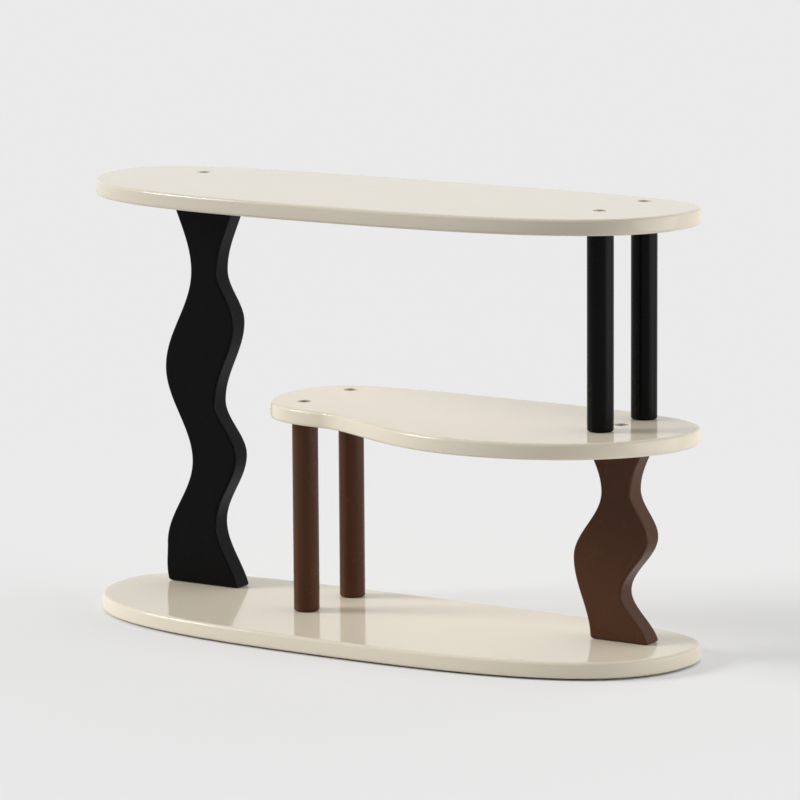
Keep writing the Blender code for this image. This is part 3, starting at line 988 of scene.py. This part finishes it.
class ShelfSettings(bpy.types.PropertyGroup):
    boards: PointerProperty(type=ShelfBoards)
    uprights: PointerProperty(type=ShelfUprights)
    fittings: PointerProperty(type=ShelfFittings)
    finish: PointerProperty(type=ShelfFinish)
    studio: PointerProperty(type=ShelfStudio)


# Studio

FLOOR_DROP = 0.0001
SENSOR_WIDTH = 36.0

# The room's glows: degrees to the right of straight on, degrees above level, tightness
LEFT_GLOW = (-105.0, 20.0, 5.0)
FRONT_GLOW = (-20.0, 45.0, 6.0)
BACK_GLOW = (180.0, 5.0, 6.0)
CORNER_GLOW = (140.0, 20.0, 5.0)


def make_sheet(name, rim, look):
    """A flat part of the stage inside one row of points."""
    mesh = bpy.data.meshes.new(name)
    mesh.from_pydata(rim.tolist(), [], [list(range(len(rim)))])
    mesh.materials.append(look)
    sheet = bpy.data.objects.new(name, mesh)
    bpy.context.scene.collection.objects.link(sheet)


def make_floor_under_base(studio):
    """The floor inside the base's outline, without a share of the background's tone: the gap is dark."""
    look, tree = new_look("floor_under_base")
    tree.shown(tree.add("ShaderNodeBsdfDiffuse", inputs={"Color": grey(studio.backdrop)}))
    places, _ = long_outline(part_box("base_board"))
    levels = np.full((len(places), 1), -FLOOR_DROP / 2)
    make_sheet("floor_under_base", np.concatenate([places, levels], axis=1), look)


def make_floor(studio):
    """A disc just under the pads: lit near the shelf, fading outwards into the plain background.

    Its far part is the background's tone to the camera and in reflections, and clear to every other ray. Its
    near part has a share of that tone too, to the same rays, which keeps the shadows faint.
    """
    look, tree = new_look("pale_floor")
    where = tree.add("ShaderNodeTexCoord", output="Object")
    reach = tree.add("ShaderNodeVectorMath", {"operation": "LENGTH"}, {0: where}, output="Value")
    seen = tree.background_ray()
    lit = tree.add("ShaderNodeBsdfDiffuse", inputs={"Color": grey(studio.backdrop)})
    tone = tree.add("ShaderNodeEmission", inputs={"Color": grey(studio.backdrop)})
    clear = tree.add("ShaderNodeBsdfTransparent")
    near = tree.mixed(studio.floor_tone * seen, lit, tone)
    far = tree.mixed(seen, clear, tone)
    faded = tree.stretch(reach, studio.floor_near, studio.floor_far)
    tree.shown(tree.mixed(faded, near, far))
    make_sheet("floor", turned([studio.floor_far], [-FLOOR_DROP], FLOOR_COLUMNS)[0], look)


def direction(turn, height):
    """The level direction straight on, turned to the right and then raised."""
    level = math.cos(height)
    return Vector((math.sin(turn) * level, -math.cos(turn) * level, math.sin(height)))


def make_room(studio):
    """The world: the plain background to the camera and in reflections, and to every other ray soft glows.

    A glow of tightness k is strength times e^(k (c - 1)), where c is the cosine of the angle from its middle.
    """
    world = bpy.data.worlds.new("room")
    bpy.context.scene.world = world
    tree = Tree(world)
    way = tree.add("ShaderNodeTexCoord", output="Generated")

    def glow(strength, turn, height, tightness):
        middle = direction(math.radians(turn), math.radians(height))
        cosine = tree.add("ShaderNodeVectorMath", {"operation": "DOT_PRODUCT"}, {0: way, 1: middle}, "Value")
        power = tightness * (cosine - 1.0)
        return strength * tree.add("ShaderNodeMath", {"operation": "EXPONENT"}, {0: power})

    sides = glow(studio.left_glow, *LEFT_GLOW) + glow(studio.front_glow, *FRONT_GLOW)
    strength = sides + glow(studio.back_glow, *BACK_GLOW) + glow(studio.corner_glow, *CORNER_GLOW)
    glowing = tree.add("ShaderNodeBackground", inputs={"Color": grey(1.0), "Strength": strength})
    plain = tree.add("ShaderNodeBackground", inputs={"Color": grey(studio.backdrop)})
    surface = tree.mixed(tree.background_ray(), glowing, plain)
    tree.add("ShaderNodeOutputWorld", inputs={"Surface": surface})


def make_lamp(name, strength, spread, turn, height):
    """A soft light from far off on one side, the same all over the floor."""
    lamp = bpy.data.lights.new(name, "SUN")
    lamp.energy = strength
    lamp.angle = spread
    light = bpy.data.objects.new(name, lamp)
    light.rotation_euler = direction(turn, height).to_track_quat("Z", "Y").to_euler()
    light.visible_camera = False
    bpy.context.scene.collection.objects.link(light)


def make_camera(studio):
    """A long lens that looks at the aim from the given turn, height and distance."""
    level = Matrix.Rotation(studio.azimuth, 4, "Z") @ Matrix.Rotation(math.pi / 2 - studio.elevation, 4, "X")
    tilted = level @ Matrix.Rotation(studio.roll, 4, "Z")
    data = bpy.data.cameras.new("camera")
    data.lens = studio.lens
    data.sensor_width = SENSOR_WIDTH
    camera = bpy.data.objects.new("camera", data)
    back = tilted.to_3x3() @ Vector((0.0, 0.0, studio.distance))
    camera.matrix_world = Matrix.Translation(Vector(studio.aim) + back) @ tilted
    bpy.context.scene.collection.objects.link(camera)
    bpy.context.scene.camera = camera


# Operators

class SHELF_OT_boards(bpy.types.Operator):
    """Make the base, the middle board and the top, drilled for their screws and pins"""

    bl_idname = "shelf.boards"
    bl_label = "Boards"

    def execute(self, context):
        shelf = context.scene.shelf
        look = cream_look(shelf.finish)
        for node in ("base_board", "top_board"):
            make_board(node, long_outline(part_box(node)), shelf.boards, look)
        make_board("middle_board", middle_outline(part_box("middle_board")), shelf.boards, look)
        return {"FINISHED"}


class SHELF_OT_black_uprights(bpy.types.Operator):
    """Make the tall black wavy panel and the two upper posts"""

    bl_idname = "shelf.black_uprights"
    bl_label = "Black panel and posts"

    def execute(self, context):
        shelf = context.scene.shelf
        make_uprights("black", BLACK_LEFT, BLACK_RIGHT, shelf.uprights, black_look(shelf.finish))
        return {"FINISHED"}


class SHELF_OT_brown_uprights(bpy.types.Operator):
    """Make the short brown wavy panel and the two lower posts"""

    bl_idname = "shelf.brown_uprights"
    bl_label = "Brown panel and posts"

    def execute(self, context):
        shelf = context.scene.shelf
        make_uprights("brown", BROWN_LEFT, BROWN_RIGHT, shelf.uprights, brown_look(shelf.finish))
        return {"FINISHED"}


class SHELF_OT_screws(bpy.types.Operator):
    """Make the socket screws and the threaded inserts that they turn into"""

    bl_idname = "shelf.screws"
    bl_label = "Screws and inserts"

    def execute(self, context):
        shelf = context.scene.shelf
        steel = dark_steel(shelf.finish)
        brass = plain_brass(shelf.finish)
        for node in nodes_of("screw"):
            make_screw(node, shelf.fittings, steel)
        for node in nodes_of("insert"):
            make_insert(node, shelf.fittings, brass)
        return {"FINISHED"}


class SHELF_OT_pins(bpy.types.Operator):
    """Make the fluted pins that keep the panels from turning"""

    bl_idname = "shelf.pins"
    bl_label = "Pins"

    def execute(self, context):
        shelf = context.scene.shelf
        look = pale_beech(shelf.finish)
        for node in nodes_of("pin"):
            make_pin(node, shelf.fittings, look)
        return {"FINISHED"}


class SHELF_OT_pads(bpy.types.Operator):
    """Make the pads under the base"""

    bl_idname = "shelf.pads"
    bl_label = "Pads"

    def execute(self, context):
        shelf = context.scene.shelf
        look = soft_rubber(shelf.finish)
        for node in nodes_of("pad"):
            make_pad(node, shelf.fittings, look)
        return {"FINISHED"}


class SHELF_OT_stage(bpy.types.Operator):
    """Set up the floor, the room, the lights and the camera"""

    bl_idname = "shelf.stage"
    bl_label = "Stage"

    def execute(self, context):
        studio = context.scene.shelf.studio
        context.scene.view_settings.view_transform = "Standard"
        make_floor(studio)
        make_floor_under_base(studio)
        make_room(studio)
        make_lamp("key", studio.key_strength, studio.key_spread, studio.key_turn, studio.key_height)
        make_lamp("side", studio.side_strength, studio.side_spread, studio.side_turn, studio.side_height)
        make_camera(studio)
        return {"FINISHED"}


STEPS = (
    SHELF_OT_boards,
    SHELF_OT_black_uprights,
    SHELF_OT_brown_uprights,
    SHELF_OT_screws,
    SHELF_OT_pins,
    SHELF_OT_pads,
    SHELF_OT_stage,
)


class VIEW3D_PT_shelf(bpy.types.Panel):
    """Lists the shelf's steps and settings in the sidebar"""

    bl_label = "Display shelf"
    bl_space_type = "VIEW_3D"
    bl_region_type = "UI"
    bl_category = "Shelf"

    def draw(self, context):
        shelf = context.scene.shelf
        for step in STEPS:
            self.layout.operator(step.bl_idname)
        for group in (shelf.boards, shelf.uprights, shelf.fittings, shelf.finish, shelf.studio):
            box = self.layout.box()
            for name in group.__annotations__:
                box.prop(group, name)


GROUPS = (ShelfBoards, ShelfUprights, ShelfFittings, ShelfFinish, ShelfStudio, ShelfSettings)


def register():
    for item in GROUPS + STEPS + (VIEW3D_PT_shelf,):
        bpy.utils.register_class(item)
    bpy.types.Scene.shelf = PointerProperty(type=ShelfSettings)


def unregister():
    del bpy.types.Scene.shelf
    for item in reversed(GROUPS + STEPS + (VIEW3D_PT_shelf,)):
        bpy.utils.unregister_class(item)


def main():
    register()
    bpy.ops.shelf.boards()
    bpy.ops.shelf.black_uprights()
    bpy.ops.shelf.brown_uprights()
    bpy.ops.shelf.screws()
    bpy.ops.shelf.pins()
    bpy.ops.shelf.pads()
    bpy.ops.shelf.stage()


if __name__ == "__main__":
    main()
